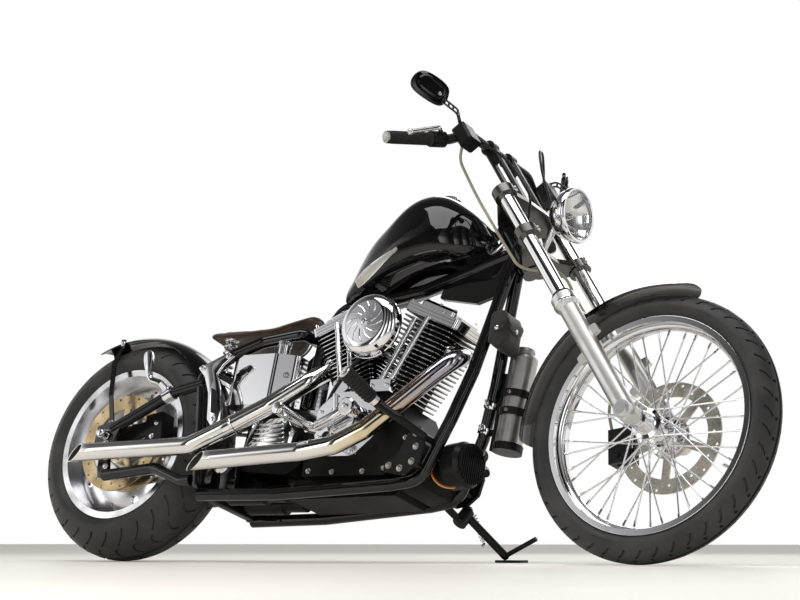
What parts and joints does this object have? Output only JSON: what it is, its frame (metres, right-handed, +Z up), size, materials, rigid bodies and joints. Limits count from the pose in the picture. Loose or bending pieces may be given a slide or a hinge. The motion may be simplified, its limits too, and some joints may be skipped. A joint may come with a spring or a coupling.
{
  "type": "chopper motorcycle",
  "caption": "Custom chopper motorcycle leaning on its side stand, with a raked fork, wire front wheel, fat rear tyre, peanut tank, thin sprung seat and slash-cut exhausts.",
  "frame": {"origin": "on the floor, under the middle of the parked motorcycle's bounding box", "axes": "+X towards the front wheel, +Y towards the motorcycle's left (the side stand's side), +Z up"},
  "size_m": [2.3664, 0.9353, 1.3043],
  "materials": {
    "tyre": "matt black tyre rubber",
    "chrome": "bright chrome plate",
    "polished_alloy": "polished, with fine marks",
    "steel": "brushed and a little stained",
    "dark_metal": "black heat-proof paint",
    "gloss_black": "gloss black paint",
    "black_paint": "satin black",
    "rubber": "matt",
    "clear_glass": "clear",
    "brown_leather": "worn brown hide",
    "black_leather": "worn black hide"
  },
  "bodies": {
    "frame": {"air_cleaner": "chrome", "bottle": "steel", "bottle_holder": "black_paint", "cam_cover": "chrome", "carburettor": "polished_alloy", "cylinders": "dark_metal", "drive_belt": "rubber", "engine_case": "dark_metal", "exhaust_pipes": "chrome", "fender_struts": "black_paint", "foot_controls": "black_paint", "frame_backbone": "gloss_black", "frame_cradle": "gloss_black", "frame_rear": "gloss_black", "fuel_tank": "gloss_black", "gearbox": "dark_metal", "oil_tank": "chrome", "passenger_pegs": "chrome", "primary_cover": "polished_alloy", "pushrod_tubes": "chrome", "rear_axle": "chrome", "rear_caliper": "black_paint", "rear_fender": "gloss_black", "regulator": "black_paint", "rider_pegs": "rubber", "rocker_boxes": "polished_alloy", "seat": "brown_leather", "seat_springs": "chrome", "side_arm": "chrome", "stand_bracket": "black_paint", "swing_arms": "gloss_black", "tank_cap": "chrome", "tool_pouch": "black_leather"},
    "rear_wheel": {"rear_tyre": "tyre", "rear_disc_wheel": "polished_alloy", "rear_rotor": "steel", "rear_pulley": "dark_metal"},
    "front_wheel": {"front_tyre": "tyre", "front_rim": "chrome", "front_hub_spokes": "chrome", "front_rotor": "steel"},
    "fork": {"triple_clamps": "polished_alloy", "fork_tubes": "chrome", "fork_legs": "polished_alloy", "front_axle": "chrome", "handlebar": "black_paint", "risers": "black_paint", "grips": "rubber", "bar_controls": "black_paint", "levers": "polished_alloy", "mirrors": "black_paint", "headlight": "chrome", "headlight_lens": "clear_glass", "front_fender": "gloss_black", "front_caliper": "black_paint", "brake_hose": "rubber", "bar_cables": "rubber"},
    "side_stand": {"stand_leg": "black_paint"}
  },
  "joints": [
    {"name": "steering", "type": "hinge", "parent": "frame", "child": "fork", "pos_m": [0.40316, -0.01934, 0.77364], "axis": [-0.5906, 0.2324, 0.7728], "range_deg": [-29, 34]},
    {"name": "front_wheel_spin", "type": "hinge", "parent": "fork", "child": "front_wheel", "pos_m": [0.83854, -0.15532, 0.33463], "axis": [0.038, 0.9646, -0.2611], "continuous": true},
    {"name": "rear_wheel_spin", "type": "hinge", "parent": "frame", "child": "rear_wheel", "pos_m": [-0.85833, -0.15709, 0.31568], "axis": [0, 0.9576, -0.288], "continuous": true},
    {"name": "stand_fold", "type": "hinge", "parent": "frame", "child": "side_stand", "pos_m": [0.20767, -0.04142, 0.12738], "axis": [0.149, 0.7175, 0.6804], "range_deg": [0, 105]}
  ]
}
